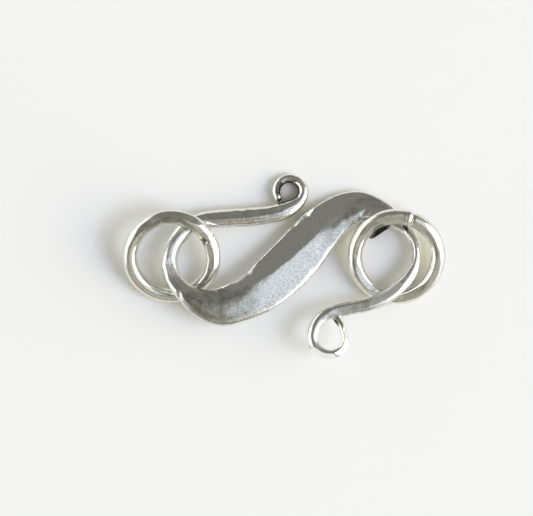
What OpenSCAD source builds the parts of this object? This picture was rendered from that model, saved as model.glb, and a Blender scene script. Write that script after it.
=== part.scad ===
// S-hook clasp: one forged S of silver wire with a soldered jump ring threaded on each hook, as it lies.
// Millimetres, +Z up. The origin is the middle of the footprint, at the height of the table.

/* [Hook] */
// Width of the blade at its middle
blade_w = 4.05; // [3.6:0.05:4.3]
// Thickness of the blade
blade_t = 1.2; // [1:0.05:1.3]
// Diameter of the wire in the upper arm and the left hook
wire_d = 1.3; // [1.1:0.05:1.4]
// Diameter of the drawn wire in the right hook and the lower arm
thin_d = 1; // [0.85:0.05:1.1]
// Diameter of the wire in the upper scroll
curl_d = 0.8; // [0.6:0.05:0.9]
// Diameter of the wire at the end of the lower scroll
tip_d = 0.5; // [0.35:0.05:0.6]
// How far the dark lip stands out under the inner edge of the right hook
lip_out = 1.25; // [0:0.05:1.4]

/* [Hook pose] */
// How far the plane of the hook dips towards the upper scroll, which lies on the table
hook_dip = 9.6; // [9:0.1:11]
// How far the left hook lies higher than the right one, as an angle
hook_roll = 1.4; // [0.5:0.1:2]
// Height of the hook's middle over the table
hook_rise = 1.65; // [1.6:0.01:2]

/* [Rings] */
// Outer diameter of each ring
ring_od = 8; // [7.8:0.05:8.2]
// Diameter of the ring wire
ring_d = 1.25; // [1:0.05:1.3]
// Distance from the middle of the clasp to the middle of each ring
ring_reach = 9.11; // [9:0.01:9.2]
// How far the rings sit towards the upper arm
ring_shift = 0.8; // [0.7:0.05:0.9]
// Tilt of the left ring, which leans on the upper arm
left_tilt = 21; // [20:0.5:25]
// Tilt of the right ring, which leans on the end of the blade
right_tilt = 14.5; // [14:0.5:18]

/* [Hidden] */
silver = [0.8, 0.81, 0.78];
ring_silver = [0.86, 0.86, 0.83];
ring_r = (ring_od - ring_d) / 2;

// Columns of every table: the place of a section's middle in the plane of the hook, then its width across
// the path and its thickness, both as a share of the size that its stretch is named for
X = 0;
Y = 1;
W = 2;
T = 3;

// The path runs from the tucked end of the upper scroll to the end of the lower one
upper_arm = [
    [0.98, 5.12, 0.84, 0.8],
    [0.4, 4.78, 1.03, 0.92],
    [-0.35, 4.48, 1.12, 1],
    [-1.3, 4.26, 1.13, 1],
    [-2.75, 4.08, 1.18, 1],
    [-5, 3.94, 1.15, 1],
    [-6.8, 3.7, 1.09, 1],
];
left_hook = [
    [-7.6, 3.35, 1.06, 1],
    [-8.3, 2.72, 1.02, 1],
    [-8.85, 1.95, 0.97, 1],
    [-9.18, 1.1, 0.97, 1],
    [-9.27, 0.2, 1.01, 1],
    [-9.1, -0.6, 1.06, 1],
    [-8.72, -1.35, 1.12, 1],
    [-8.2, -1.95, 1.18, 1.02],
];
blade = [
    [-7.5, -2.53, 0.47, 1.05],
    [-6.3, -3.13, 0.64, 1],
    [-5.1, -3.28, 0.78, 1],
    [-3.55, -2.82, 0.84, 1],
    [-1.95, -1.93, 0.92, 1],
    [-0.5, -0.7, 0.99, 1],
    [0.9, 0.7, 1, 1],
    [2.47, 2.59, 0.94, 1],
    [3.9, 3.9, 0.81, 1],
    [5.1, 4.65, 0.73, 1],
    [6.2, 4.92, 0.65, 1],
    [7.35, 4.65, 0.56, 0.97],
    [8.5, 4.1, 0.47, 0.92],
];
right_hook = [
    [9.45, 3.58, 1.38, 1.03],
    [10.2, 2.83, 1, 1],
    [10.62, 1.95, 0.87, 1],
    [10.77, 1, 0.85, 1],
    [10.6, 0.1, 0.9, 1],
    [10.15, -0.8, 1, 1],
    [9.45, -1.56, 1.05, 1],
];
lower_arm = [
    [8.25, -2.5, 1.1, 1],
    [6.97, -3.1, 1.07, 1],
    [5.35, -3.42, 1.11, 1],
    [4.3, -3.65, 1.1, 1],
    [3.48, -3.9, 1.05, 1],
    [2.84, -4.38, 1.01, 0.95],
];
lower_tip = [
    [4.64, -4.83, 1.1, 1.1],
    [4.46, -4.5, 1, 1],
];

// Scrolls: where the middle is, and the angle between two of their sections
upper_scroll_at = [0.47, 6.16];
lower_scroll_at = [3.73, -5.85];
scroll_step = 27;

// The lip: where it is on the path, and its half length
lip_at = [8.05, 4.3];
lip_half = 1;

// The blade's section: how much of the thickness over its middle is the edge, and how round the crown is
edge_share = 0.3;
crown_power = 1.35;
// Width over thickness, less one, at which a section has turned from round wire to blade
blade_from = 1.5;

// Sweep: distance between two rings of points, points in a ring, and rounding rings at each end
ring_step = 0.3;
sides = 16;
end_rings = 3;

function mix(a, b, k) = a + (b - a) * k;
function limit(value) = max(0, min(1, value));
function power(value, e) = sign(value) * pow(abs(value), e);
function flat_gap(a, b) = norm([b[X] - a[X], b[Y] - a[Y]]);

// Table rows with their shares turned into millimetres
function sized(rows, w, t) = [for (row = rows) [row[X], row[Y], row[W] * w, row[T] * t]];

// Sections along a scroll: angles, radii, widths and thicknesses at its start and its end
function scroll(at, angles, radii, widths, depths) =
    let (count = ceil(abs(angles[1] - angles[0]) / scroll_step))
    [
        for (i = [0:count])
        let (k = i / count, a = mix(angles[0], angles[1], k), r = mix(radii[0], radii[1], k))
        [at[X] + r * cos(a), at[Y] + r * sin(a), mix(widths[0], widths[1], k), mix(depths[0], depths[1], k)]
    ];

sections = concat(
    scroll(upper_scroll_at, [208, -33], [1.08, 1.13], [curl_d * 0.8, curl_d * 1.12], [curl_d * 0.85, curl_d * 1.2]),
    sized(upper_arm, wire_d, wire_d),
    sized(left_hook, wire_d, wire_d),
    sized(blade, blade_w, blade_t),
    sized(right_hook, thin_d, thin_d),
    sized(lower_arm, thin_d, thin_d),
    scroll(lower_scroll_at, [155, 385], [1.48, 1.18], [thin_d * 0.98, tip_d * 1.15], [thin_d * 0.93, tip_d * 1.2]),
    sized(lower_tip, tip_d, tip_d)
);
last = len(sections) - 1;
spans = [for (i = [0:last - 1]) flat_gap(sections[i], sections[i + 1])];

// How the columns change along the path at section i, for each millimetre
slopes = [
    for (i = [0:last])
    let (
        before = i > 0 ? (sections[i] - sections[i - 1]) / spans[i - 1] : (sections[1] - sections[0]) / spans[0],
        after = i < last ? (sections[i + 1] - sections[i]) / spans[i] : before
    )
    i == 0 || i == last ? before : (before * spans[i] + after * spans[i - 1]) / (spans[i - 1] + spans[i])
];

// Smooth curve from section i to the next one, at k from 0 to 1
function between(i, k) =
    (2 * pow(k, 3) - 3 * pow(k, 2) + 1) * sections[i]
    + (pow(k, 3) - 2 * pow(k, 2) + k) * spans[i] * slopes[i]
    + (3 * pow(k, 2) - 2 * pow(k, 3)) * sections[i + 1]
    + (pow(k, 3) - pow(k, 2)) * spans[i] * slopes[i + 1];

path = [
    for (i = [0:last - 1])
    let (count = ceil(spans[i] / ring_step))
    for (j = [0:count - (i < last - 1 ? 1 : 0)])
    between(i, j / count)
];

// Outline of a section: round for wire, a crowned top over a flat back for the blade
function outline(w, t, lip) = [
    for (j = [0:sides - 1])
    let (
        a = 360 * j / sides,
        blade_share = limit((w / t - 1) / blade_from),
        across = power(cos(a), mix(1, 0.75, blade_share)),
        crown = edge_share * power(sin(a), 0.5) + (1 - edge_share) * (1 - pow(abs(across), crown_power)),
        up = mix(sin(a), a < 180 ? crown : power(sin(a), 0.4), blade_share),
        out = a > 180 && cos(a) < -0.01 ? lip : 0
    )
    [across * w / 2 - out, up * t / 2]
];

// One ring of points across the path at its point i, scaled by size and moved ahead along the path
function ring_points(i, size, ahead) =
    let (
        here = path[i],
        back = path[max(i - 1, 0)],
        front = path[min(i + 1, len(path) - 1)],
        way = [front[X] - back[X], front[Y] - back[Y]] / flat_gap(back, front),
        lip = lip_out * pow(cos(90 * limit(flat_gap(here, lip_at) / lip_half)), 2)
    )
    [
        for (p = outline(here[W] * size, here[T] * size, lip))
        [here[X] - way[Y] * p[X] + way[X] * ahead, here[Y] + way[X] * p[X] + way[Y] * ahead, p[Y]]
    ];

// Closed skin through equal rings of points
module skin(rings) {
    n = len(rings[0]);
    top = len(rings) - 1;
    polyhedron(
        points = [for (ring = rings) each ring],
        faces = concat(
            [[for (j = [0:n - 1]) j]],
            [for (i = [0:top - 1]) for (j = [0:n - 1]) [i * n + j, (i + 1) * n + j, (i + 1) * n + (j + 1) % n]],
            [for (i = [0:top - 1]) for (j = [0:n - 1]) [i * n + j, (i + 1) * n + (j + 1) % n, i * n + (j + 1) % n]],
            [[for (j = [n - 1:-1:0]) top * n + j]]
        )
    );
}

// The forged S: scrolls, arms, hooks and blade in one sweep with rounded ends
module s_hook() {
    end = len(path) - 1;
    turns = [for (i = [0:end_rings - 1]) 90 * (i + 0.4) / end_rings];
    start_cap = [for (a = turns) ring_points(0, sin(a), -path[0][W] / 2 * cos(a))];
    end_cap = [for (i = [end_rings - 1:-1:0]) ring_points(end, sin(turns[i]), path[end][W] / 2 * cos(turns[i]))];
    color(silver)
    translate([0, 0, hook_rise])
    rotate([-hook_dip, hook_roll, 0])
    skin(concat(start_cap, [for (i = [0:end]) ring_points(i, 1, 0)], end_cap));
}

// A jump ring on its lowest point, leaning up towards the upper arm
module jump_ring(side, tilt) {
    color(ring_silver)
    translate([side * ring_reach, ring_shift, ring_r * sin(tilt) + ring_d / 2])
    rotate([tilt, 0, 0])
    rotate_extrude($fn = 96)
    translate([ring_r, 0])
    circle(d = ring_d, $fn = 32);
}

module ring_left() {
    jump_ring(-1, left_tilt);
}

module ring_right() {
    jump_ring(1, right_tilt);
}

s_hook();
ring_left();
ring_right();
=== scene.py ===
import bpy
import bmesh
from math import ceil, cos, hypot, pi, radians, sin
from mathutils import Matrix, Vector, noise


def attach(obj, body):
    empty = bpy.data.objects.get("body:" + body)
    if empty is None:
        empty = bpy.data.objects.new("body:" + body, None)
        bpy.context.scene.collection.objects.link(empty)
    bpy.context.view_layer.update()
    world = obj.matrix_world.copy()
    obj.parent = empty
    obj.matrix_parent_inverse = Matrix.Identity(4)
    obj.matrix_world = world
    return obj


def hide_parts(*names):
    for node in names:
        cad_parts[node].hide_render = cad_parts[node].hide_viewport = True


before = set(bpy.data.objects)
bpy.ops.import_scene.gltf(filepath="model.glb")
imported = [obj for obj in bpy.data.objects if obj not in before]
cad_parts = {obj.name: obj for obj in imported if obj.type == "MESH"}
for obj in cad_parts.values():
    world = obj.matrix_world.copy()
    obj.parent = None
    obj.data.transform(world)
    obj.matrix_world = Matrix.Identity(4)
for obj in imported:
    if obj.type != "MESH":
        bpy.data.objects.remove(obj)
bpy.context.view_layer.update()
mm = 0.001
nodeGap = (200, 180)  # room between nodes in the editor


# sRGB levels, 0 to 255, as Blender's linear colour
def tone(red, green, blue):
    def linear(level):
        share = level / 255
        return share / 12.92 if share <= 0.04045 else ((share + 0.055) / 1.055) ** 2.4
    return (linear(red), linear(green), linear(blue), 1.0)


def mix(a, b, k):
    return a + (b - a) * k


def limit(value):
    return max(0.0, min(1.0, value))


def softStep(value):
    k = limit(value)
    return k * k * (3 - 2 * k)


# 1 over the inner half of a reach, then softly down to 0 at its end
def within(share):
    return softStep((1 - share) * 2)


# Bell curve of a squared distance, with e to three places
def bell(square):
    return 2.718 ** -square


def signedPower(value, exponent):
    return (1 if value >= 0 else -1) * abs(value) ** exponent


# Unit vector from a compass angle, 0 along +X and 90 along +Y, and an angle down from straight up
def direction(compass, fromTop):
    a = radians(compass)
    t = radians(fromTop)
    return Vector((sin(t) * cos(a), sin(t) * sin(a), cos(t)))


# How far one angle is from another round a circle, -pi to pi
def turnFrom(a, start):
    return (a - start + pi) % (2 * pi) - pi


# Node helpers: settings are node properties, and links go in by socket name
def addNode(tree, kind, at, values=None, **settings):
    node = tree.nodes.new(kind)
    node.location = (at[0] * nodeGap[0], at[1] * nodeGap[1])
    for name, value in settings.items():
        setattr(node, name, value)
    for name, value in (values or {}).items():
        node.inputs[name].default_value = value
    return node


def join(tree, source, output, target, socket):
    tree.links.new(source.outputs[output], target.inputs[socket])


def newGroup(name, inputs, outputs):
    tree = bpy.data.node_groups.new(name, "ShaderNodeTree")
    for label, kind, value in inputs:
        socket = tree.interface.new_socket(name=label, in_out="INPUT", socket_type=kind)
        socket.default_value = value
    for label, kind in outputs:
        tree.interface.new_socket(name=label, in_out="OUTPUT", socket_type=kind)
    start = addNode(tree, "NodeGroupInput", (-6, 0))
    end = addNode(tree, "NodeGroupOutput", (6, 0))
    return tree, start, end


def addGroup(tree, group, at, values):
    node = addNode(tree, "ShaderNodeGroup", at)
    node.node_tree = group
    for name, value in values.items():
        node.inputs[name].default_value = value
    return node


# Where the clasp is seen from
camera = {
    "aimX": -1.4175,  # middle of the picture, mm
    "aimY": 0.6885,
    "aimZ": 1.6,  # height at which the picture's scale holds
    "frameWide": 43.17,  # what the picture takes in, mm
    "away": 400,
    "nearest": 0.01,  # m
    "farthest": 20,
}


def makeCamera():
    data = bpy.data.cameras.new("photoCamera")
    data.lens = data.sensor_width * camera["away"] / camera["frameWide"]
    data.clip_start = camera["nearest"]
    data.clip_end = camera["farthest"]
    eye = bpy.data.objects.new("photoCamera", data)
    high = camera["aimZ"] + camera["away"]
    eye.location = (camera["aimX"] * mm, camera["aimY"] * mm, high * mm)
    bpy.context.collection.objects.link(eye)
    bpy.context.scene.camera = eye


makeCamera()
print("camera set")


# The forged S. Rows give the middle of a section in the plane of the hook, mm, then its width and
# thickness as shares of the size that the stretch is made in
hook = {
    "bladeWide": 4.05,
    "bladeThick": 1.2,
    "wireWide": 1.3,
    "drawnWide": 1.0,
    "curlWide": 0.8,
    "tipWide": 0.5,
    "dip": 9.6,  # degrees down towards the upper scroll
    "roll": 1.4,
    "rise": 1.65,
    "ringStep": 0.085,  # between sections
    "sides": 72,
    "capRings": 10,
    "capStart": 0.4,  # how far in the first ring of a cap is, in rings
    # Scrolls: middle, angles, radii, and sizes as shares of the wire at the start and at the end
    "upperScroll": {
        "at": (0.47, 6.16), "angles": (208, -33), "radii": (1.08, 1.13),
        "wide": (0.8, 1.12), "thick": (0.85, 1.2)},
    "lowerScroll": {
        "at": (3.73, -5.85), "angles": (155, 385), "radii": (1.48, 1.18),
        "wide": (0.98, 1.15), "thick": (0.93, 1.2)},
    "scrollStep": 27,
    "upperArm": (
        (0.98, 5.12, 0.84, 0.8), (0.4, 4.78, 1.03, 0.92), (-0.35, 4.48, 1.12, 1), (-1.3, 4.26, 1.13, 1),
        (-2.75, 4.08, 1.18, 1), (-5, 3.94, 1.15, 1), (-6.8, 3.7, 1.09, 1)),
    "leftHook": (
        (-7.6, 3.35, 1.06, 1), (-8.3, 2.72, 1.02, 1), (-8.85, 1.95, 0.97, 1), (-9.18, 1.1, 0.97, 1),
        (-9.27, 0.2, 1.01, 1), (-9.1, -0.6, 1.06, 1), (-8.72, -1.35, 1.12, 1),
        (-8.2, -1.95, 1.18, 1.02)),
    "blade": (
        (-7.5, -2.53, 0.47, 1.05), (-6.3, -3.13, 0.64, 1), (-5.1, -3.28, 0.78, 1), (-3.55, -2.82, 0.84, 1),
        (-1.95, -1.93, 0.92, 1), (-0.5, -0.7, 0.99, 1), (0.9, 0.7, 1, 1), (2.47, 2.59, 0.94, 1),
        (3.9, 3.9, 0.81, 1), (5.1, 4.65, 0.73, 1), (6.2, 4.92, 0.65, 1), (7.35, 4.65, 0.56, 0.97),
        (8.5, 4.1, 0.47, 0.92)),
    "rightHook": (
        (9.45, 3.58, 1.38, 1.03), (10.2, 2.83, 1, 1), (10.62, 1.95, 0.87, 1), (10.77, 1, 0.85, 1),
        (10.6, 0.1, 0.9, 1), (10.15, -0.8, 1, 1), (9.45, -1.56, 1.05, 1)),
    "lowerArm": (
        (8.25, -2.5, 1.1, 1), (6.97, -3.1, 1.07, 1), (5.35, -3.42, 1.11, 1), (4.3, -3.65, 1.1, 1),
        (3.48, -3.9, 1.05, 1), (2.84, -4.38, 1.01, 0.95)),
    "lowerTip": ((4.64, -4.83, 1.15, 1.15), (4.44, -4.5, 1.25, 1.1), (4.28, -4.26, 1.3, 1)),
    "lipOut": 1.25,  # how far the lip stands out under the blade's inner edge
    "lipAt": (8.05, 4.3),
    "lipHalf": 1.0,
    "lipSide": -0.01,  # only what is further right of travel than this goes with it
    "edgeShare": 0.38,  # how much of the crown's height is the rounded rim
    "edgeDrop": 0.4,  # the widest line's depth under the middle, as a share of half the thickness
    "backCorner": 0.4,  # how square the flat back's edges are, from 0 to 1 for round
    "bladeFrom": 1.5,  # how much wider than thick a section is when it is all blade
    # The crown along the blade: place along x, where its ridge is across (-1 to 1), how rounded its
    # sides are, how high it stands, and how sharp its lower right and upper left rims are
    "crown": (
        (-7.5, -0.2, 1.6, 0.9, 7, 30), (-5.1, -0.42, 2.0, 0.85, 5, 50), (-3.55, -0.52, 2.3, 0.85, 4.5, 60),
        (-1.95, -0.4, 1.7, 1.05, 4.5, 60), (-0.5, -0.22, 1.2, 1.05, 7, 60), (0.9, -0.1, 1.1, 1, 11, 40),
        (2.47, 0.06, 1.4, 0.8, 24, 12), (3.9, 0.28, 2.1, 0.56, 30, 24), (5.1, 0.36, 2.2, 0.46, 16, 20),
        (6.2, 0.42, 2.2, 0.4, 10, 14), (8.5, 0.3, 1.6, 0.55, 8, 10)),
    # Flats hammered on the wire: middle and half length, which way they face in the section (90 up,
    # 0 to the left of travel), and how deep they are cut
    "flats": (
        (-9.27, 0.2, 2.0, 82, 0.03), (-8.5, -1.7, 1.7, 78, 0.07), (-8.45, -1.75, 1.6, 98, 0.07),
        (8.3, -2.5, 2.2, 92, 0.05), (5.3, -3.4, 1.8, 84, 0.06), (-5, 3.94, 1.6, 100, 0.04),
        (4.7, -6.35, 1.5, 134, 0.12), (3.2, -7.1, 1.2, 150, 0.18),
        (2.55, 2.6, 1.2, 58, 0.096), (-9.15, -0.4, 1.1, 83, 0.09), (10.1, -0.9, 1.5, 50, 0.05)),
    # Where the wire leans: middle and half length, and how far its top is pushed to the left of
    # travel, as a share of its height
    "leans": ((-9.2, 0.2, 2.2, -0.1), (10.6, 0.4, 3.6, -0.06), (8.2, -2.5, 2.6, 0.04)),
    # Hammer work: broad facets and a fine grain
    "facets": {"deep": 0.018, "wide": 1.6},
    "grain": {"deep": 0.005, "wide": 0.45},
    # Hand marks seen from above: middle, half length and half width, turn, and depth
    "marks": (
        (-8.46, -2.4, 0.36, 0.12, 97, 0.1),
        (-3.9, 4.25, 0.2, 0.14, 30, 0.075),
        (-2.85, 4.4, 0.16, 0.13, 0, 0.07),
        (-1.1, 4.5, 0.2, 0.12, 20, 0.05),
        (-0.32, 4.66, 0.2, 0.13, 50, 0.08),
        (-1.9, 0.52, 0.22, 0.05, 100, 0.01),
        (-3.3, -1.52, 0.1, 0.08, 60, 0.025),
        (2.92, 1.18, 0.15, 0.11, 20, 0.05),
        (6.4, 4.25, 0.3, 0.14, 40, 0.05),
        (6.5, 5.7, 0.3, 0.1, -15, 0.045),
        (5.4, 5.3, 0.2, 0.1, 10, 0.03),
    ),
    # The flat under the upper scroll: its middle from the scroll's, how far it reaches and fades, what
    # lies low enough for it, how high it is over the table, and how it curves up
    "seat": {"shiftY": -0.1, "reach": 1.75, "fade": 0.3, "below": 0.62, "high": 0.03, "curve": 0.6},
    # Where tarnish and painted shade sit, seen from above: middle, half length and half width, turn, how
    # dark, and how level the surface may be there, from 0 for walls only to 1 for all
    "stainsAndShade": (
        # Painted shade: the dark patch under the right ring's top, and the shade beside it at the hook's
        # throat
        (7.72, 2.9, 1.05, 0.62, 38, 1.0, 1),
        (9.86, 3.14, 0.3, 0.17, -50, 0.9, 1),
        # Painted shade: a dark reflection drawn down the right hook's inner edge
        (10.08, 2.63, 0.5, 0.1, -60, 0.6, 1),
        (10.4, 1.66, 0.62, 0.09, -78, 0.6, 1),
        (10.46, 0.69, 0.55, 0.08, -95, 0.55, 1),
        (10.14, -0.36, 0.6, 0.07, -120, 0.5, 1),
        (-7.82, 2.2, 0.5, 0.08, 42, 0.7, 1),
        # Tarnish with painted shade in the crevice where the lower scroll's tip meets the arm
        (4.12, -4.58, 0.44, 0.24, -55, 1.0, 1),
        (2.03, -6.52, 0.14, 0.1, 0, 0.8, 1),
        (2.23, -6.93, 0.12, 0.1, 0, 0.8, 1),
        # Painted shade in the upper scroll's eye: on its walls, over its inner highlight, at its tail and
        # at its top
        (0.47, 6.08, 1.3, 1.25, 0, 0.92, 0.55),
        (-0.32, 6.35, 0.62, 0.27, 72, 1.0, 1),
        (-0.25, 5.35, 0.35, 0.2, -20, 0.9, 1),
        (0.5, 6.95, 0.6, 0.12, 0, 0.5, 1),
        (-9.26, -1.74, 0.6, 0.07, -75, 0.35, 1),
        (-7.0, -2.9, 0.9, 0.35, -30, 0.22, 1),
        (-6.0, -4.1, 0.6, 0.2, 0, 0.2, 1),
    ),
    # Where the polish is worn to satin, in the same columns
    "wear": (
        (-9.2, 0.3, 1.9, 0.9, 85, 0.5, 1),
        (8.4, -2.3, 1.9, 0.8, 28, 0.9, 1),
        (5.4, -3.4, 1.8, 0.7, 8, 0.6, 1),
        (6.8, 3.9, 1.3, 0.9, 20, 0.35, 1),
        (-6.2, -3.4, 1.6, 1.2, -10, 0.25, 1),
        (0.8, 0.3, 2.2, 0.6, 44, 0.3, 1),
        (3.55, 3.0, 1.7, 0.55, 46, 0.5, 1),
        (10.3, -0.5, 1.3, 0.5, 62, 0.7, 1),
    ),
    # Where the tarnish gathers in mottles
    "patina": (
        (-5.9, -3.2, 2.6, 1.7, -5, 1.0, 1),
        (-3.4, -2.9, 1.8, 1.1, 32, 1.0, 1),
        (5.0, 3.7, 1.5, 0.55, 35, 1.0, 1),
        (6.9, 4.6, 1.8, 1.1, 0, 0.7, 1),
        (4.2, 2.6, 1.6, 0.6, 45, 0.6, 1),
        (5.4, -3.4, 2.0, 0.8, 10, 0.6, 1),
        (-4.0, 4.1, 4.0, 0.8, 5, 0.4, 1),
    ),
}


# Values of a table's other columns, at a place given by its first column
def alongTable(rows, x):
    if x <= rows[0][0]:
        return rows[0][1:]
    for low, high in zip(rows, rows[1:]):
        if x <= high[0]:
            k = softStep((x - low[0]) / (high[0] - low[0]))
            return [mix(a, b, k) for a, b in zip(low[1:], high[1:])]
    return rows[-1][1:]


def sized(rows, wide, thick):
    return [(x, y, w * wide, t * thick) for x, y, w, t in rows]


# Sections along a scroll, between two sizes of wire
def scrollRows(scroll, startSize, endSize):
    start, end = scroll["angles"]
    wide = (startSize * scroll["wide"][0], endSize * scroll["wide"][1])
    thick = (startSize * scroll["thick"][0], endSize * scroll["thick"][1])
    count = ceil(abs(end - start) / hook["scrollStep"])
    rows = []
    for i in range(count + 1):
        k = i / count
        a = radians(mix(start, end, k))
        r = mix(*scroll["radii"], k)
        x = scroll["at"][0] + r * cos(a)
        y = scroll["at"][1] + r * sin(a)
        rows.append((x, y, mix(*wide, k), mix(*thick, k)))
    return rows


def hookRows():
    curl = hook["curlWide"]
    wire = hook["wireWide"]
    drawn = hook["drawnWide"]
    tip = hook["tipWide"]
    return (
        scrollRows(hook["upperScroll"], curl, curl)
        + sized(hook["upperArm"], wire, wire)
        + sized(hook["leftHook"], wire, wire)
        + sized(hook["blade"], hook["bladeWide"], hook["bladeThick"])
        + sized(hook["rightHook"], drawn, drawn)
        + sized(hook["lowerArm"], drawn, drawn)
        + scrollRows(hook["lowerScroll"], drawn, tip)
        + sized(hook["lowerTip"], tip, tip))


# A smooth curve through the rows, with a point at every step
def smoothPath(rows, step):
    last = len(rows) - 1
    spans = [hypot(b[0] - a[0], b[1] - a[1]) for a, b in zip(rows, rows[1:])]
    slopes = []
    for i in range(last + 1):
        before = [(b - a) / spans[i - 1] for a, b in zip(rows[i - 1], rows[i])] if i > 0 else None
        after = [(b - a) / spans[i] for a, b in zip(rows[i], rows[i + 1])] if i < last else None
        if before is None or after is None:
            slopes.append(after or before)
        else:
            total = spans[i - 1] + spans[i]
            slopes.append([(b * spans[i] + a * spans[i - 1]) / total for b, a in zip(before, after)])
    path = []
    for i in range(last):
        count = ceil(spans[i] / step)
        for j in range(count + (1 if i == last - 1 else 0)):
            k = j / count
            h0 = 2 * k ** 3 - 3 * k ** 2 + 1
            h1 = (k ** 3 - 2 * k ** 2 + k) * spans[i]
            h2 = 3 * k ** 2 - 2 * k ** 3
            h3 = (k ** 3 - k ** 2) * spans[i]
            path.append([
                h0 * p + h1 * s + h2 * q + h3 * t
                for p, s, q, t in zip(rows[i], slopes[i], rows[i + 1], slopes[i + 1])])
    return path


# A point of a section, pressed back to a flat that faces an angle at a reach from the middle
def pressed(p, q, facing, reach):
    over = p * cos(facing) + q * sin(facing) - reach
    if over > 0:
        p -= over * cos(facing)
        q -= over * sin(facing)
    return p, q


# Round for wire, a crowned top over a flat back for the blade
def sectionOutline(wide, thick, lip, crownRow, lean, flats):
    ridge, rounding, high, rightRim, leftRim = crownRow
    bladeShare = limit((wide / thick - 1) / hook["bladeFrom"])
    drop = hook["edgeDrop"]
    rise = (1 - hook["edgeShare"]) * high
    points = []
    for j in range(hook["sides"]):
        a = 2 * pi * j / hook["sides"]
        across = cos(a)
        if a < pi:
            side = (-ridge - across) / (1 - ridge) if across < -ridge else (across + ridge) / (1 + ridge)
            edge = leftRim if across > 0 else rightRim
            crown = (1 - rise) * max(0, 1 - abs(across) ** edge) ** 0.5 + rise * (1 - side ** rounding)
            crown = (1 + drop) * crown - drop
        else:
            crown = (1 - drop) * signedPower(sin(a), hook["backCorner"]) - drop
        q = mix(sin(a), crown, bladeShare) * thick / 2
        p = (across * wide / 2 + lean * q) * wide / hypot(wide, lean * thick)
        for facing, cut in flats:
            f = radians(facing)
            p, q = pressed(p, q, f, hypot(wide / 2 * cos(f), thick / 2 * sin(f)) - cut)
        out = lip if a > pi and across < hook["lipSide"] else 0
        points.append((p - out, q))
    return points


def hookRings():
    path = smoothPath(hookRows(), hook["ringStep"])
    last = len(path) - 1

    def ring(i, size, ahead):
        x, y, wide, thick = path[i]
        back = path[max(i - 1, 0)]
        front = path[min(i + 1, last)]
        run = hypot(front[0] - back[0], front[1] - back[1])
        wayX = (front[0] - back[0]) / run
        wayY = (front[1] - back[1]) / run

        def away(place):
            return hypot(x - place[0], y - place[1])

        lip = hook["lipOut"] * cos(pi / 2 * limit(away(hook["lipAt"]) / hook["lipHalf"])) ** 2
        crownRow = alongTable(hook["crown"], x)
        lean = 0
        for *place, half, push in hook["leans"]:
            lean += push * within(away(place) / half)
        flats = []
        for *place, half, facing, cut in hook["flats"]:
            near = within(away(place) / half)
            if near > 0:
                flats.append((facing, cut * near))
        return [
            (x - wayY * p + wayX * ahead, y + wayX * p + wayY * ahead, q)
            for p, q in sectionOutline(wide * size, thick * size, lip, crownRow, lean, flats)]

    turns = [pi / 2 * (i + hook["capStart"]) / hook["capRings"] for i in range(hook["capRings"])]
    startCap = [ring(0, sin(a), -path[0][2] / 2 * cos(a)) for a in turns]
    endCap = [ring(last, sin(a), path[last][2] / 2 * cos(a)) for a in reversed(turns)]
    return startCap + [ring(i, 1, 0) for i in range(last + 1)] + endCap


# Closed skin of quads through equal rings of points
def skin(name, sections, place, closedLoop=False):
    work = bmesh.new()
    made = [[work.verts.new(place @ Vector(p)) for p in section] for section in sections]
    pairs = list(zip(made, made[1:]))
    if closedLoop:
        pairs.append((made[-1], made[0]))
    for low, high in pairs:
        for j in range(len(low)):
            k = (j + 1) % len(low)
            work.faces.new((low[j], low[k], high[k], high[j]))
    if not closedLoop:
        work.faces.new(list(reversed(made[0])))
        work.faces.new(made[-1])
    bmesh.ops.recalc_face_normals(work, faces=work.faces)
    for face in work.faces:
        face.smooth = True
    mesh = bpy.data.meshes.new(name)
    work.to_mesh(mesh)
    work.free()
    piece = bpy.data.objects.new(name, mesh)
    bpy.context.collection.objects.link(piece)
    return piece


# How every piece is worked and worn
handWork = {
    "grainFrom": (7, 3, 1),  # where in the noise the grain is taken
    "markFacing": 0.05,  # marks are struck where the surface faces up more than this
    "markReach": 3,  # how far a mark is felt, in half lengths
    "paintReach": 2,
    "paintEdge": 1.15,  # where a painted spot ends, and how far it fades inward, in half widths
    "paintFade": 0.4,
    "glintSideAbove": -5.4,  # the lower scroll, below this, gets none, mm
    "glintSideFade": 0.6,
    "glintSideSharp": 4,
}


# Place in a turned oval, in half lengths and half widths, or nothing where it is out of reach
def inOval(p, oval, reach):
    x, y, longHalf, wideHalf, turn = oval
    dx = p.x - x
    dy = p.y - y
    if abs(dx) + abs(dy) > reach * longHalf:
        return None
    a = radians(turn)
    return (dx * cos(a) + dy * sin(a)) / longHalf, (dy * cos(a) - dx * sin(a)) / wideHalf


# Hammer and file work: facets, grain and marks, pressed in along the normal
def forge(piece, facets, grain, marks):
    mesh = piece.data
    normals = [v.normal.copy() for v in mesh.vertices]
    for v, n in zip(mesh.vertices, normals):
        p = v.co / mm
        push = (
            facets["deep"] * noise.noise(p / facets["wide"])
            + grain["deep"] * noise.noise(p / grain["wide"] + Vector(handWork["grainFrom"])))
        if n.z > handWork["markFacing"]:
            for *oval, depth in marks:
                spot = inOval(p, oval, handWork["markReach"])
                if spot:
                    push -= depth * bell(spot[0] * spot[0] + spot[1] * spot[1])
        v.co += n * push * mm
    mesh.update()


# A value from 0 to 1 on every vertex, for the material
def paint(piece, name, rows):
    layer = piece.data.attributes.new(name, "FLOAT", "POINT")
    for i, v in enumerate(piece.data.vertices):
        p = v.co / mm
        most = 0.0
        for *oval, amount, level in rows:
            spot = inOval(p, oval, handWork["paintReach"])
            if spot and v.normal.z <= level:
                inside = (handWork["paintEdge"] - hypot(*spot)) / handWork["paintFade"]
                most = max(most, amount * softStep(inside))
        layer.data[i].value = most


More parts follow.
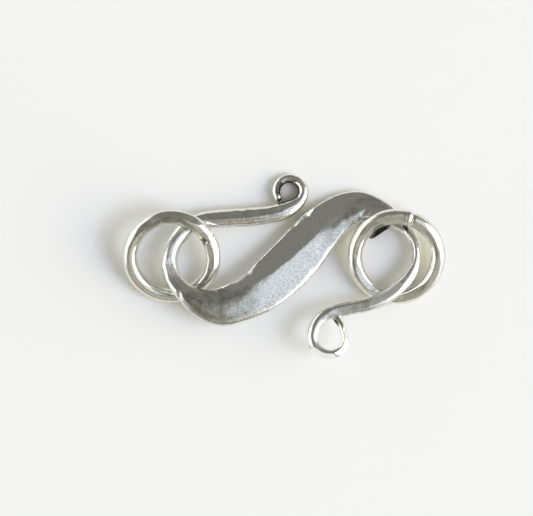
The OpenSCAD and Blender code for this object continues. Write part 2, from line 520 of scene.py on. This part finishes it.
# The side that faces the key light, to the lower right, as another value on the vertices: more speckle
# there, scuffing with painted glints
def scuffAndGlint(piece):
    layer = piece.data.attributes.new("scuffAndGlint", "FLOAT", "POINT")
    for i, v in enumerate(piece.data.vertices):
        above = softStep((v.co.y / mm - handWork["glintSideAbove"]) / handWork["glintSideFade"])
        layer.data[i].value = above * softStep((v.normal.x - v.normal.y) * handWork["glintSideSharp"])


def wearIn(piece, stainsAndShade, wear, patina):
    paint(piece, "stainAndShade", stainsAndShade)
    paint(piece, "wear", wear)
    paint(piece, "patina", patina)
    scuffAndGlint(piece)


# The upper scroll, hammered flat below, so that little light gets under it
def seatScroll(piece):
    seat = hook["seat"]
    x, y = hook["upperScroll"]["at"]
    y += seat["shiftY"]
    for v in piece.data.vertices:
        p = v.co / mm
        near = softStep((seat["reach"] - hypot(p.x - x, p.y - y)) / seat["fade"])
        if near > 0 and v.normal.z < 0 and p.z < seat["below"]:
            flat = seat["high"] + seat["curve"] * (1 + v.normal.z)
            v.co.z = mix(p.z, min(p.z, flat), near) * mm
    piece.data.update()


def makeHook():
    place = (
        Matrix.Translation((0, 0, hook["rise"] * mm))
        @ Matrix.Rotation(radians(hook["roll"]), 4, "Y")
        @ Matrix.Rotation(radians(-hook["dip"]), 4, "X")
        @ Matrix.Scale(mm, 4))
    piece = skin("forgedHook", hookRings(), place)
    forge(piece, hook["facets"], hook["grain"], hook["marks"])
    seatScroll(piece)
    wearIn(piece, hook["stainsAndShade"], hook["wear"], hook["patina"])
    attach(piece, "root")
    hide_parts("s_hook")
    return piece


# The jump rings, each a closed round of wire with a solder seam. Sizes in mm, angles in degrees
rings = {
    "outer": 8.0,
    "wire": 1.25,
    "reach": 9.11,  # from the middle of the clasp to the middle of a ring, along x
    "shift": 0.8,  # and along y
    "around": 320,
    "sides": 48,
    "worn": 0.02,  # how much thinner the wire is than new, from its middle
    "wobble": 0.015,  # how far a ring is from a true circle, and how often
    "wobbleTurns": 2,
    "grooveDeep": 0.07,  # the seam's groove
    "grooveHalf": 0.11,
    "swellAt": 0.3,  # where the solder stands up beside it
    "swellHalf": 0.2,
    "facets": {"deep": 0.012, "wide": 0.9},
    "grain": {"deep": 0.004, "wide": 0.3},
    "patina": ((-9.1, 0.8, 5.0, 5.0, 0, 0.5, 1), (9.1, 0.8, 5.0, 5.0, 0, 0.5, 1)),
    # Flats are worn and filed: middle and half length round the ring, which way they face in the
    # wire's section (0 outward, 90 up), and how deep they are cut. Stains, with painted shade, and wear
    # are as on the hook
    "left": {
        "side": -1,
        "tilt": 21,
        "seamAt": 28,  # round the ring, from +X
        "swell": 0.02,
        "noiseAt": 1,
        "flats": (
            (82, 34, 46, 0.1), (104, 44, 72, 0.07), (8, 24, 60, 0.04), (0, 26, 108, 0.05),
            (320, 26, 100, 0.03)),
        "stainsAndShade": (
            (-6.6, 1.88, 0.46, 0.32, 62, 0.8, 1),
            # Painted shade with tarnish: darker where the ring's lower left and top would reflect dark
            (-10.7, -1.2, 1.5, 0.4, -48, 0.32, 1),
            (-9.1, 3.72, 1.0, 0.24, 0, 0.5, 1),
            (-7.8, 3.3, 0.9, 0.22, -38, 0.5, 1),
            (-10.5, 3.3, 0.8, 0.2, 34, 0.35, 1),
        ),
        "wear": ((-9.3, 3.9, 1.8, 0.9, 0, 0.25, 1),),
    },
    "right": {
        "side": 1,
        "tilt": 14.5,
        "seamAt": 69,
        "swell": 0.08,
        "noiseAt": 5,
        "flats": (
            (108, 50, 84, 0.05), (160, 26, 96, 0.04), (214, 26, 106, 0.05), (30, 22, 62, 0.03),
            (296, 30, 98, 0.04), (328, 34, 20, 0.07), (334, 30, 86, 0.05)),
        "stainsAndShade": (
            # Painted shade beside the dark patch where the ring lies over the hook
            (7.62, 3.08, 0.6, 0.24, 36, 0.6, 1),
            (9.75, 4.25, 0.2, 0.06, 70, 0.3, 1),
        ),
        "wear": (
            (8.6, 4.0, 1.9, 0.9, 12, 0.45, 1),
            (6.0, 1.6, 1.2, 0.6, 80, 0.2, 1),
            (12.6, -0.6, 1.6, 0.7, 65, 0.6, 1),
        ),
    },
}


# Sections round a ring, in its own plane
def ringSections(one, radius):
    often = rings["wobbleTurns"]
    sections = []
    for i in range(rings["around"]):
        a = 2 * pi * i / rings["around"]
        fromSeam = turnFrom(a, radians(one["seamAt"])) * radius  # mm along the wire
        groove = rings["grooveDeep"] * bell((fromSeam / rings["grooveHalf"]) ** 2)
        swell = one["swell"] * bell(((fromSeam - rings["swellAt"]) / rings["swellHalf"]) ** 2)
        thick = rings["wire"] / 2 - groove + swell - rings["worn"]
        drift = noise.noise(Vector((cos(a) * often, sin(a) * often, one["noiseAt"])))
        out = radius + rings["wobble"] * drift
        section = []
        for j in range(rings["sides"]):
            b = 2 * pi * j / rings["sides"]
            p = thick * cos(b)
            q = thick * sin(b)
            for middle, half, facing, cut in one["flats"]:
                off = abs(turnFrom(a, radians(middle))) / radians(half)
                p, q = pressed(p, q, radians(facing), thick - cut * within(off))
            r = out + p
            section.append((r * cos(a), r * sin(a), q))
        sections.append(section)
    return sections


def makeRing(name, node, one):
    radius = (rings["outer"] - rings["wire"]) / 2
    tilt = radians(one["tilt"])
    high = radius * sin(tilt) + rings["wire"] / 2
    place = (
        Matrix.Translation((one["side"] * rings["reach"] * mm, rings["shift"] * mm, high * mm))
        @ Matrix.Rotation(tilt, 4, "X")
        @ Matrix.Scale(mm, 4))
    piece = skin(name, ringSections(one, radius), place, closedLoop=True)
    forge(piece, rings["facets"], rings["grain"], ())
    wearIn(piece, one["stainsAndShade"], one["wear"], rings["patina"])
    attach(piece, "root")
    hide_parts(node)
    return piece


forgedHook = makeHook()
print("hook forged")
leftRing = makeRing("leftRingWire", "ring_left", rings["left"])
rightRing = makeRing("rightRingWire", "ring_right", rings["right"])
print("rings bent")


# Noise in the silver: size in 1/mm, detail and roughness, and where each turns into a mask
silverNoise = {
    "grainDetail": 3.0,
    "grainRough": 0.6,
    "scratchTurn": 38,  # degrees
    "scratchStretch": (1.2, 22, 6),
    "scratchDetail": 2.0,
    "scratchRough": 0.7,
    "pitSize": 9.0,
    "pitDetail": 1.0,
    "pitRough": 0.5,
    "speckleSize": 6.5,
    "speckleDetail": 4.0,
    "speckleRough": 0.75,
    "speckleLow": 0.36,
    "speckleHigh": 0.64,
    "patchSize": 1.7,
    "patchDetail": 5.0,
    "patchRough": 0.66,
    "patchLow": 0.42,
    "patchHigh": 0.66,
    "patchLeast": 0.38,
    "roughFrom": 0.25,
    "roughTo": 0.75,
}


def addNoise(tree, at, coords, detail, rough, size=1.0):
    node = addNode(tree, "ShaderNodeTexNoise", at, {"Scale": size, "Detail": detail, "Roughness": rough})
    join(tree, coords, 0, node, "Vector")
    return node


# One value times another, or plus it
def addMath(tree, at, operation, first, firstOutput, second, secondOutput):
    node = addNode(tree, "ShaderNodeMath", at, operation=operation)
    join(tree, first, firstOutput, node, 0)
    join(tree, second, secondOutput, node, 1)
    return node


# Fine scratches, hammer grain, pits and tarnish, on the object's own coordinates in mm
def makeSilverGroup():
    group, start, end = newGroup("silverWork", (
        ("Grain Size", "NodeSocketFloat", 4.0),
        ("Grain Depth", "NodeSocketFloat", 0.5),
        ("Pit Depth", "NodeSocketFloat", 0.3),
        ("Scratch Depth", "NodeSocketFloat", 0.3),
        ("Tarnish", "NodeSocketFloat", 0.3),
    ), (
        ("Height", "NodeSocketFloat"),
        ("Grain", "NodeSocketFloat"),
        ("Mottle", "NodeSocketFloat"),
        ("Tarnish", "NodeSocketFloat"),
    ))
    look = silverNoise
    coords = addNode(group, "ShaderNodeTexCoord", (-6, 3))
    inMm = addNode(group, "ShaderNodeVectorMath", (-5, 3), {"Scale": 1 / mm}, operation="SCALE")
    join(group, coords, "Object", inMm, 0)

    grain = addNoise(group, (-4, 2), inMm, look["grainDetail"], look["grainRough"])
    join(group, start, "Grain Size", grain, "Scale")
    join(group, grain, "Fac", end, "Grain")
    grainHigh = addMath(group, (-2, 2), "MULTIPLY", grain, "Fac", start, "Grain Depth")
    stretch = addNode(group, "ShaderNodeMapping", (-4, 0), {
        "Rotation": (0, 0, radians(look["scratchTurn"])), "Scale": look["scratchStretch"]})
    join(group, inMm, 0, stretch, "Vector")
    scratch = addNoise(group, (-3, 0), stretch, look["scratchDetail"], look["scratchRough"])
    scratchHigh = addMath(group, (-2, 0), "MULTIPLY", scratch, "Fac", start, "Scratch Depth")
    pits = addNoise(group, (-4, 1), inMm, look["pitDetail"], look["pitRough"], look["pitSize"])
    pitHigh = addMath(group, (-2, 1), "MULTIPLY", pits, "Fac", start, "Pit Depth")
    fine = addMath(group, (-1, 1), "ADD", grainHigh, 0, pitHigh, 0)
    height = addMath(group, (0, 1), "ADD", fine, 0, scratchHigh, 0)
    join(group, height, 0, end, "Height")

    speckled = addNoise(
        group, (-4, -1), inMm, look["speckleDetail"], look["speckleRough"], look["speckleSize"])
    mottle = addNode(group, "ShaderNodeMapRange", (-2, -1), {
        "From Min": look["speckleLow"], "From Max": look["speckleHigh"]})
    join(group, speckled, "Fac", mottle, "Value")
    join(group, mottle, 0, end, "Mottle")

    patches = addNoise(group, (-4, -2), inMm, look["patchDetail"], look["patchRough"], look["patchSize"])
    band = addNode(group, "ShaderNodeMapRange", (-2, -2), {
        "From Min": look["patchLow"], "From Max": look["patchHigh"], "To Min": look["patchLeast"]})
    join(group, patches, "Fac", band, "Value")
    amount = addMath(group, (0, -2), "MULTIPLY", band, 0, start, "Tarnish")
    join(group, amount, 0, end, "Tarnish")
    return group


silverWork = makeSilverGroup()

hookFinish = {
    "speck": tone(255, 255, 252),
    "pit": tone(200, 201, 196),
    "dull": tone(158, 160, 146),
    # Colour of tarnish, also used as painted shade where the stain rows stand for shade
    "stainAndShade": tone(58, 55, 57),
    "shadedSideSpeckle": 0.35,  # how much of the speckle shows away from the side that faces the key light
    "grainSize": 4.5,
    "grainDepth": 0.5,
    "pitDepth": 0.12,
    "scratchDepth": 0.12,
    "tarnish": 0.08,  # everywhere
    "patina": 0.75,  # where the tarnish gathers
    "bumpFar": 0.00002,  # m
    "roughLow": 0.05,
    "roughHigh": 0.13,
    "satin": 0.3,  # added where the polish is worn
}
ringFinish = {
    "speck": tone(255, 254, 249),
    "pit": tone(227, 224, 214),
    "dull": tone(176, 174, 158),
    # Colour of tarnish, also used as painted shade where the stain rows stand for shade
    "stainAndShade": tone(76, 84, 68),
    "shadedSideSpeckle": 0.45,
    "grainSize": 5.5,
    "grainDepth": 0.4,
    "pitDepth": 0.08,
    "scratchDepth": 0.15,
    "tarnish": 0.08,
    "patina": 0.6,
    "bumpFar": 0.000015,
    "roughLow": 0.05,
    "roughHigh": 0.12,
    "satin": 0.3,
}


# A painted value of the vertices, stretched from low to high
def addPainted(tree, at, name, low, high):
    value = addNode(tree, "ShaderNodeAttribute", (at[0] - 1, at[1]), attribute_name=name)
    node = addNode(tree, "ShaderNodeMapRange", at, {"To Min": low, "To Max": high})
    join(tree, value, "Fac", node, "Value")
    return node


def makeSilver(name, finish):
    material = bpy.data.materials.new(name)
    material.use_nodes = True
    tree = material.node_tree
    shader = tree.nodes["Principled BSDF"]
    shader.inputs["Metallic"].default_value = 1.0
    work = addGroup(tree, silverWork, (-6, 0), {
        "Grain Size": finish["grainSize"], "Grain Depth": finish["grainDepth"],
        "Pit Depth": finish["pitDepth"], "Scratch Depth": finish["scratchDepth"]})
    tarnish = addPainted(tree, (-7, 0), "patina", finish["tarnish"], finish["patina"])
    join(tree, tarnish, 0, work, "Tarnish")

    # More speckle and white specks on the side facing the key light: painted glints with scuffing
    speckle = addPainted(tree, (-6, 2), "scuffAndGlint", finish["shadedSideSpeckle"], 1.0)
    pitting = addNode(tree, "ShaderNodeMix", (-5, 2), {"A": 1.0}, data_type="FLOAT")
    join(tree, speckle, 0, pitting, "Factor")
    join(tree, work, "Mottle", pitting, "B")
    metal = addNode(tree, "ShaderNodeMix", (-4, 1), data_type="RGBA")
    metal.inputs["A"].default_value = finish["pit"]
    metal.inputs["B"].default_value = finish["speck"]
    join(tree, pitting, "Result", metal, "Factor")
    colour = addNode(tree, "ShaderNodeMix", (-3, 1), data_type="RGBA")
    join(tree, metal, "Result", colour, "A")
    colour.inputs["B"].default_value = finish["dull"]
    join(tree, work, "Tarnish", colour, "Factor")
    # Tarnish and painted shade, from the value painted on the vertices
    stainsAndShade = addNode(tree, "ShaderNodeAttribute", (-4, 3), attribute_name="stainAndShade")
    stainedAndShaded = addNode(tree, "ShaderNodeMix", (-2, 2), data_type="RGBA")
    stainedAndShaded.inputs["B"].default_value = finish["stainAndShade"]
    join(tree, colour, "Result", stainedAndShaded, "A")
    join(tree, stainsAndShade, "Fac", stainedAndShaded, "Factor")
    join(tree, stainedAndShaded, "Result", shader, "Base Color")

    rough = addNode(tree, "ShaderNodeMapRange", (-3, -1), {
        "From Min": silverNoise["roughFrom"], "From Max": silverNoise["roughTo"],
        "To Min": finish["roughLow"], "To Max": finish["roughHigh"]})
    join(tree, work, "Grain", rough, "Value")
    worn = addNode(tree, "ShaderNodeAttribute", (-3, -3), attribute_name="wear")
    satin = addNode(tree, "ShaderNodeMath", (-2, -1), {1: finish["satin"]}, operation="MULTIPLY_ADD")
    join(tree, worn, "Fac", satin, 0)
    join(tree, rough, 0, satin, 2)
    join(tree, satin, 0, shader, "Roughness")
    bump = addNode(tree, "ShaderNodeBump", (-2, -2), {"Strength": 1.0, "Distance": finish["bumpFar"]})
    join(tree, work, "Height", bump, "Height")
    join(tree, bump, "Normal", shader, "Normal")
    return material


hookSilver = makeSilver("hookSilver", hookFinish)
ringSilver = makeSilver("ringSilver", ringFinish)
forgedHook.data.materials.append(hookSilver)
leftRing.data.materials.append(ringSilver)
rightRing.data.materials.append(ringSilver)
print("silver polished")


# The pale table. Its three tones follow how open it is, from 0 for shut in to 1, so its colour carries
# painted shade and painted warm bounce light
table = {
    "half": 3.0,  # m
    "open": tone(245, 246, 245),
    "paintedWarmBounce": tone(246, 242, 222),  # painted warm light off the silver, with slight painted shade, where it stands close over the table
    "paintedDeepShade": tone(158, 156, 147),  # painted shade inside the upper scroll, where hardly any light gets down
    "closeFar": 0.002,
    "openFrom": 0.25,
    "openTo": 0.72,
    "paintedShadeFrom": 0.08,
    "paintedShadeTo": 0.34,
}


def makeTable():
    work = bmesh.new()
    bmesh.ops.create_grid(work, x_segments=1, y_segments=1, size=table["half"])
    mesh = bpy.data.meshes.new("paleTable")
    work.to_mesh(mesh)
    work.free()
    top = bpy.data.objects.new("paleTable", mesh)
    bpy.context.collection.objects.link(top)
    material = bpy.data.materials.new("paleTable")
    material.use_nodes = True
    tree = material.node_tree
    shader = tree.nodes["Principled BSDF"]
    shader.inputs["Roughness"].default_value = 1.0
    shader.inputs["Specular IOR Level"].default_value = 0.0
    # Painted shade and painted warm bounce light in the table's colour, both from ambient occlusion
    openness = addNode(tree, "ShaderNodeAmbientOcclusion", (-4, 0), {"Distance": table["closeFar"]})
    tint = addNode(tree, "ShaderNodeMapRange", (-3, 0), {
        "From Min": table["openFrom"], "From Max": table["openTo"]})
    join(tree, openness, "AO", tint, "Value")
    colour = addNode(tree, "ShaderNodeMix", (-2, 0), data_type="RGBA")
    colour.inputs["A"].default_value = table["paintedWarmBounce"]
    colour.inputs["B"].default_value = table["open"]
    join(tree, tint, 0, colour, "Factor")
    deep = addNode(tree, "ShaderNodeMapRange", (-3, -1), {
        "From Min": table["paintedShadeFrom"], "From Max": table["paintedShadeTo"]})
    join(tree, openness, "AO", deep, "Value")
    whole = addNode(tree, "ShaderNodeMix", (-1, 0), data_type="RGBA")
    whole.inputs["A"].default_value = table["paintedDeepShade"]
    join(tree, colour, "Result", whole, "B")
    join(tree, deep, 0, whole, "Factor")
    join(tree, whole, "Result", shader, "Base Color")
    mesh.materials.append(material)


makeTable()

room = {
    "base": tone(248, 245, 226),
    "baseStrength": 0.42,
    "tableSees": (0.462, 0.457, 0.412, 1),
    "cameraSees": tone(240, 242, 240),
    # Soft glows of the room as the silver sees them: compass, angle from the top, where the glow is
    # full, where it ends, colour, and how bright
    "glows": (
        ("overhead", 112, 14, 11, 21, tone(238, 238, 230), 0.2),
        ("topDark", 98, 52, 28, 44, tone(238, 238, 228), 0.24),
        ("lowDark", 222, 34, 8, 24, tone(238, 238, 230), 0.2),
        ("bottomSoft", 272, 56, 10, 26, tone(250, 246, 234), 0.53),
        ("bottomTan", 283, 88, 12, 26, tone(240, 228, 190), 0.37),
        ("lowRight", -52, 52, 10, 22, tone(252, 252, 252), 0.72),
        ("leftHigh", 136, 80, 11, 16, tone(255, 255, 255), 1.7),
        ("leftWall", 179, 71, 31, 43, tone(253, 252, 248), 1.4),
        ("rightSoft", -6, 31, 14, 30, tone(236, 244, 255), 0.93),
        # Bright panes that only the silver sees, because the lamps light the table
        ("rightPane", 0, 64, 18, 32, tone(255, 255, 255), 3.9),
        ("lowPane", -24, 72, 17, 28, tone(255, 255, 255), 2.8),
    ),
    # Compass, angle from the top, distance and size, m, colour, and watts
    "lamps": (
        ("warmPanel", -14, 58, 1.0, 0.7, tone(255, 253, 186), 2.82),
        ("bluePanel", -15, 38, 1.0, 0.38, tone(207, 210, 255), 3.55),
    ),
}


def makeGlowGroup():
    group, start, end = newGroup("roomGlow", (
        ("Way", "NodeSocketVector", (0, 0, 1)),
        ("Centre", "NodeSocketVector", (0, 0, 1)),
        ("Full", "NodeSocketFloat", 0.9),
        ("End", "NodeSocketFloat", 0.5),
    ), (
        ("Mask", "NodeSocketFloat"),
    ))
    dot = addNode(group, "ShaderNodeVectorMath", (-3, 0), operation="DOT_PRODUCT")
    join(group, start, "Way", dot, 0)
    join(group, start, "Centre", dot, 1)
    fade = addNode(group, "ShaderNodeMapRange", (0, 0), interpolation_type="SMOOTHSTEP")
    join(group, dot, "Value", fade, "Value")
    join(group, start, "End", fade, "From Min")
    join(group, start, "Full", fade, "From Max")
    join(group, fade, 0, end, "Mask")
    return group


def dimmed(colour, bright):
    return [c * bright for c in colour[:3]] + [1]


def makeRoom():
    world = bpy.data.worlds.new("softRoom")
    bpy.context.scene.world = world
    world.use_nodes = True
    tree = world.node_tree
    tree.nodes.clear()
    glowGroup = makeGlowGroup()
    coords = addNode(tree, "ShaderNodeTexCoord", (-8, 0))
    last = addNode(tree, "ShaderNodeRGB", (-6, 3))
    last.outputs[0].default_value = dimmed(room["base"], room["baseStrength"])
    output = 0
    for i, (name, compass, fromTop, full, ends, colour, bright) in enumerate(room["glows"]):
        glow = addGroup(tree, glowGroup, (-6 + i, -2), {
            "Centre": direction(compass, fromTop), "Full": cos(radians(full)), "End": cos(radians(ends))})
        glow.label = name
        join(tree, coords, "Generated", glow, "Way")
        blend = addNode(tree, "ShaderNodeMix", (-5 + i, 1), data_type="RGBA")
        blend.inputs["B"].default_value = dimmed(colour, bright)
        join(tree, last, output, blend, "A")
        join(tree, glow, "Mask", blend, "Factor")
        last = blend
        output = "Result"
    path = addNode(tree, "ShaderNodeLightPath", (3, 3))
    diffuse = addNode(tree, "ShaderNodeMix", (4, 1), data_type="RGBA")
    join(tree, path, "Is Diffuse Ray", diffuse, "Factor")
    join(tree, last, "Result", diffuse, "A")
    diffuse.inputs["B"].default_value = room["tableSees"]
    lit = addNode(tree, "ShaderNodeBackground", (5, 1))
    join(tree, diffuse, "Result", lit, "Color")
    plain = addNode(tree, "ShaderNodeBackground", (5, -1))
    plain.inputs["Color"].default_value = room["cameraSees"]
    choose = addNode(tree, "ShaderNodeMixShader", (6, 0))
    end = addNode(tree, "ShaderNodeOutputWorld", (7, 0))
    join(tree, path, "Is Camera Ray", choose, "Fac")
    join(tree, lit, 0, choose, 1)
    join(tree, plain, 0, choose, 2)
    join(tree, choose, 0, end, "Surface")


def makeLamps():
    for name, compass, fromTop, away, size, colour, power in room["lamps"]:
        data = bpy.data.lights.new(name, "AREA")
        data.size = size
        data.energy = power
        data.color = colour[:3]
        lamp = bpy.data.objects.new(name, data)
        way = direction(compass, fromTop)
        lamp.location = way * away
        lamp.rotation_euler = way.to_track_quat("Z", "Y").to_euler()
        lamp.visible_glossy = False
        bpy.context.collection.objects.link(lamp)


makeRoom()
makeLamps()
bpy.context.scene.view_settings.view_transform = "Standard"
bpy.context.scene.view_settings.look = "None"
print("table and room lit")
